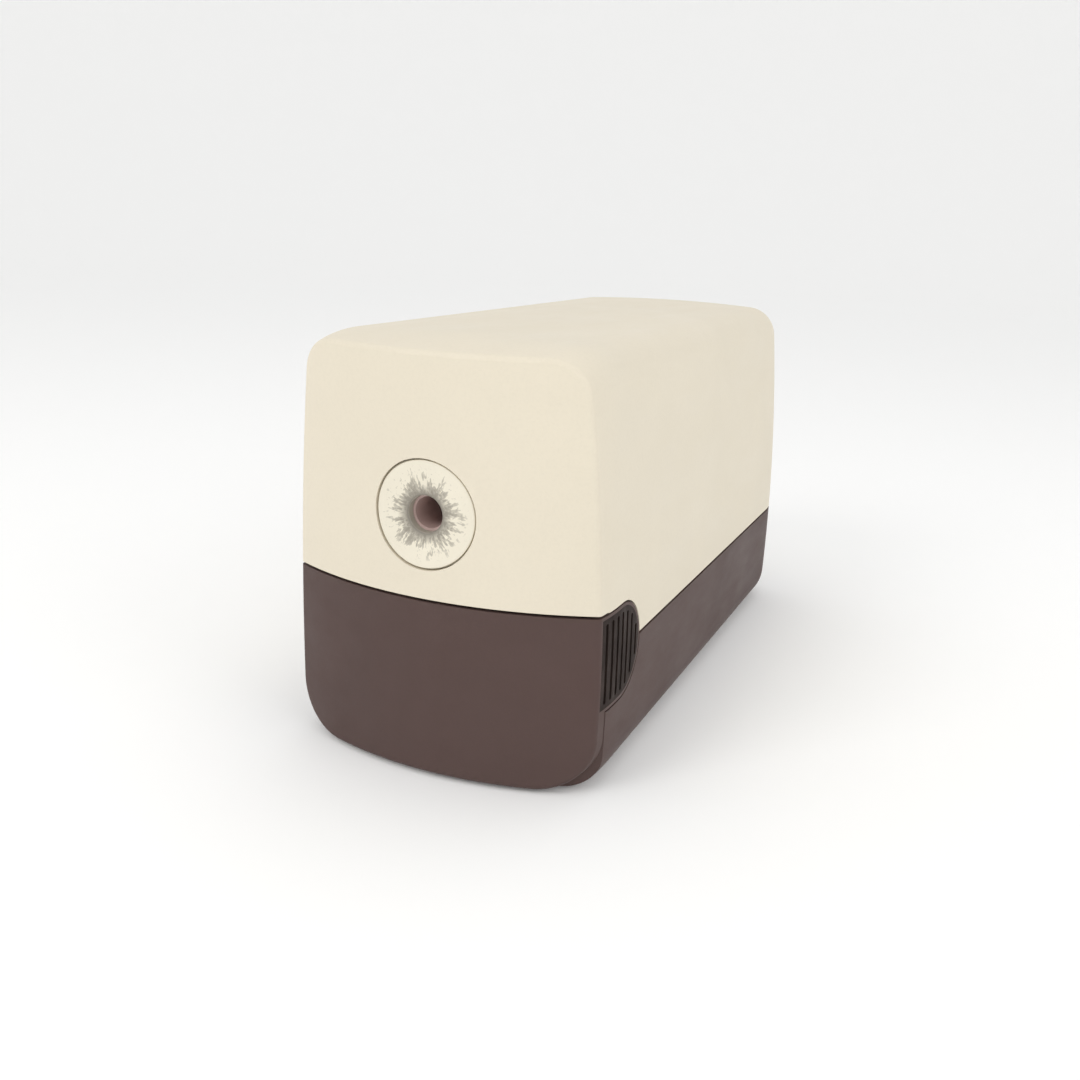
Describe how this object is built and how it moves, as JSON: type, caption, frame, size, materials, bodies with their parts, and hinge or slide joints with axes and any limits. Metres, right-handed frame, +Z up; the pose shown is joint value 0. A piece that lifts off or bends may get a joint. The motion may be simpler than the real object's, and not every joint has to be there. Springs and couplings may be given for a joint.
{
  "type": "electric desk pencil sharpener",
  "caption": "Electric desk pencil sharpener with a light housing over a dark base, a round pencil guide in the bowed front and a pull-out shavings drawer with ribbed side grips.",
  "frame": {"origin": "centre of the overall footprint, on the surface the rubber feet stand on", "axes": "+Z up, -Y towards the user (the pencil hole and the drawer are on the -Y end), +X to the user's right; +Y is the longest extent"},
  "size_m": [0.0938, 0.213, 0.118],
  "materials": {
    "housing_plastic": "fine-textured light beige ABS",
    "base_plastic": "fine-textured warm brown ABS",
    "grip_plastic": "near-black ribbed moulding",
    "guide_plastic": "light beige, smudged with graphite round the hole",
    "dark_plastic": "dark brown moulding",
    "rubber": "moulded rubber",
    "frame_plastic": "glass-filled nylon, dark grey",
    "gear_plastic": "natural acetal",
    "switch_plastic": "black phenolic",
    "zinc": "die-cast zinc",
    "steel": "ground steel",
    "cutter_steel": "hardened steel",
    "core_steel": "laminated electrical steel",
    "cradle_steel": "zinc-plated sheet steel",
    "copper": "enamelled copper",
    "bronze": "sintered bronze",
    "bobbin_plastic": "natural nylon",
    "label_foil": "blank silver-grey label"
  },
  "bodies": {
    "body": {"upper_housing": "housing_plastic", "lower_base": "base_plastic", "pencil_guide_disc": "guide_plastic", "pencil_guide_tube": "dark_plastic", "foot_front_left": "rubber", "foot_front_right": "rubber", "foot_rear_left": "rubber", "foot_rear_right": "rubber", "cord_gland": "rubber", "rating_label": "label_foil", "mechanism_deck": "frame_plastic", "front_bulkhead": "frame_plastic", "cutter_shroud": "frame_plastic", "lever_pin": "steel", "lever_clip": "steel", "lever_spring": "steel", "switch_body": "switch_plastic", "switch_terminals": "copper", "switch_screws": "steel", "ring_gear": "zinc", "carrier_bush": "bronze", "cluster_pin": "steel", "gearcase_front": "frame_plastic", "gearcase_rear": "cradle_steel", "stator_stack": "core_steel", "shading_rings": "copper", "coil_bobbin": "bobbin_plastic", "coil_winding": "copper", "motor_bracket_front": "zinc", "motor_bracket_rear": "zinc", "motor_bearing_front": "bronze", "motor_bearing_rear": "bronze", "motor_cradle": "cradle_steel", "motor_spacers": "steel", "motor_bolts": "steel", "core_bolts": "steel", "core_nuts": "steel", "cradle_grommets": "rubber", "cradle_screws": "steel", "housing_screws": "steel", "deck_screws": "steel", "bulkhead_screws": "steel", "case_foot_screws": "steel", "gearcase_screws": "steel", "ring_gear_screws": "steel"},
    "drawer": {"shavings_drawer": "base_plastic", "grip_inlay_left": "grip_plastic", "grip_inlay_right": "grip_plastic"},
    "carrier": {"cutter_carrier": "zinc", "drive_gear": "gear_plastic", "cutter_pin": "steel"},
    "cutter": {"helical_cutter": "cutter_steel", "cutter_pinion": "cutter_steel"},
    "cluster": {"cluster_gear": "gear_plastic"},
    "rotor": {"motor_rotor": "core_steel", "motor_shaft": "steel", "motor_pinion": "steel", "cooling_fan": "dark_plastic"},
    "lever": {"start_lever": "gear_plastic"},
    "button": {"switch_button": "gear_plastic"}
  },
  "joints": [
    {"name": "drawer_slide", "type": "slide", "parent": "body", "child": "drawer", "axis": [0, -1, 0], "range_m": [0, 0.08]},
    {"name": "carrier_spin", "type": "hinge", "parent": "body", "child": "carrier", "pos_m": [0, -0.0245, 0.0735], "axis": [0, 1, 0], "continuous": true},
    {"name": "cutter_spin", "type": "hinge", "parent": "carrier", "child": "cutter", "pos_m": [0, -0.0715, 0.0855], "axis": [0, 0.9816, -0.1908], "continuous": true},
    {"name": "cluster_spin", "type": "hinge", "parent": "body", "child": "cluster", "pos_m": [0.0198, -0.0215, 0.0933], "axis": [0, 1, 0], "continuous": true},
    {"name": "rotor_spin", "type": "hinge", "parent": "body", "child": "rotor", "pos_m": [0.00251, 0.0205, 0.087], "axis": [0, 1, 0], "continuous": true},
    {"name": "lever_swing", "type": "hinge", "parent": "body", "child": "lever", "pos_m": [-0.015, -0.0949, 0.0828], "axis": [0, -1, 0], "range_deg": [0, 8], "stiffness_Nm_per_rad": 0.02, "springref_deg": -17.19},
    {"name": "button_press", "type": "slide", "parent": "body", "child": "button", "axis": [0, 0, -1], "range_m": [0, 0.00125]}
  ],
  "couplings": [
    {"joint": "carrier_spin", "follows": "rotor_spin", "ratio": 0.092593},
    {"joint": "cutter_spin", "follows": "rotor_spin", "ratio": -0.29101},
    {"joint": "cluster_spin", "follows": "rotor_spin", "ratio": -0.27778},
    {"joint": "lever_swing", "follows": "button_press", "rad_per_m": 111.1}
  ]
}
